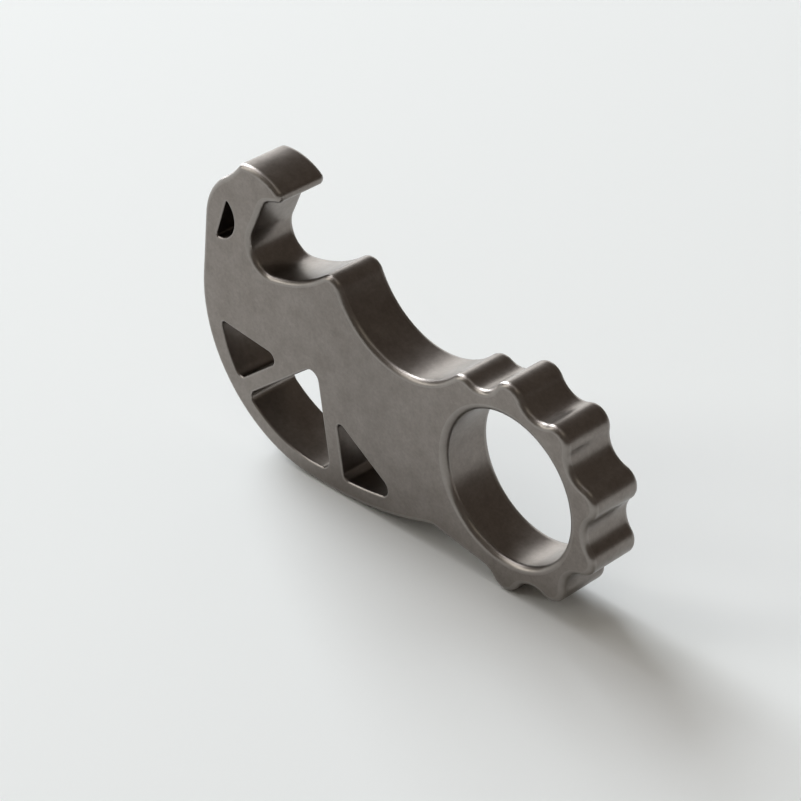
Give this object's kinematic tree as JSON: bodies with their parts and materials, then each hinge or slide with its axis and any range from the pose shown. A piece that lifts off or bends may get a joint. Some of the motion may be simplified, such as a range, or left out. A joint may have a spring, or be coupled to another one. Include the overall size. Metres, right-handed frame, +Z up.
{
  "type": "bottle opener",
  "caption": "Keychain bottle opener milled from one thick metal plate, with a cap claw, a thumb cut, truss windows and a crested finger ring.",
  "frame": {"origin": "middle of the footprint, on the surface that the opener stands on: it stands on edge, on the flat under its belly and on the lowest crest of its ring", "axes": "+X runs along the opener from its head to its finger ring, +Y is through the plate's thickness and +Z is up, with the claw at the top of the head"},
  "size_m": [0.0844, 0.0094, 0.051],
  "materials": {
    "tumbled_titanium": "bare titanium, tumbled to a warm dark grey satin"
  },
  "bodies": {
    "root": {"opener_body": "tumbled_titanium"}
  },
  "joints": []
}
